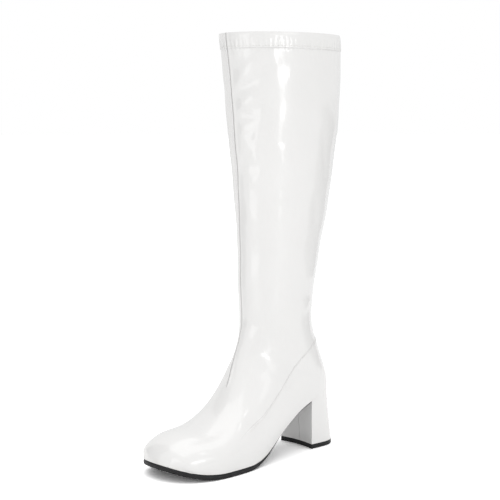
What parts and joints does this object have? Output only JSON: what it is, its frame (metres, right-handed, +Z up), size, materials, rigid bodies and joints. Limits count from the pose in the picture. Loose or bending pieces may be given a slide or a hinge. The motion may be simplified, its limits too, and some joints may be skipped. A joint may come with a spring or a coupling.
{
  "type": "knee-high boot",
  "caption": "Tall glossy white boot with a covered block heel, rounded toe, front seam and thin black sole, open at the collar and hollow inside.",
  "frame": {"origin": "centre of the heel top piece's underside, on the floor", "axes": "+Z up along the shaft, toe towards -Y, outer side towards +X, so this is a left boot"},
  "size_m": [0.1012, 0.2408, 0.4364],
  "materials": {
    "upper": "patent gloss",
    "outsole": "satin",
    "heel_block": "covered in the same patent sheet",
    "heel_top_piece": "satin",
    "insole": "matt sock"
  },
  "bodies": {
    "root": {"upper": "upper", "outsole": "outsole", "heel_block": "heel_block", "heel_top_piece": "heel_top_piece", "insole": "insole"}
  },
  "joints": []
}
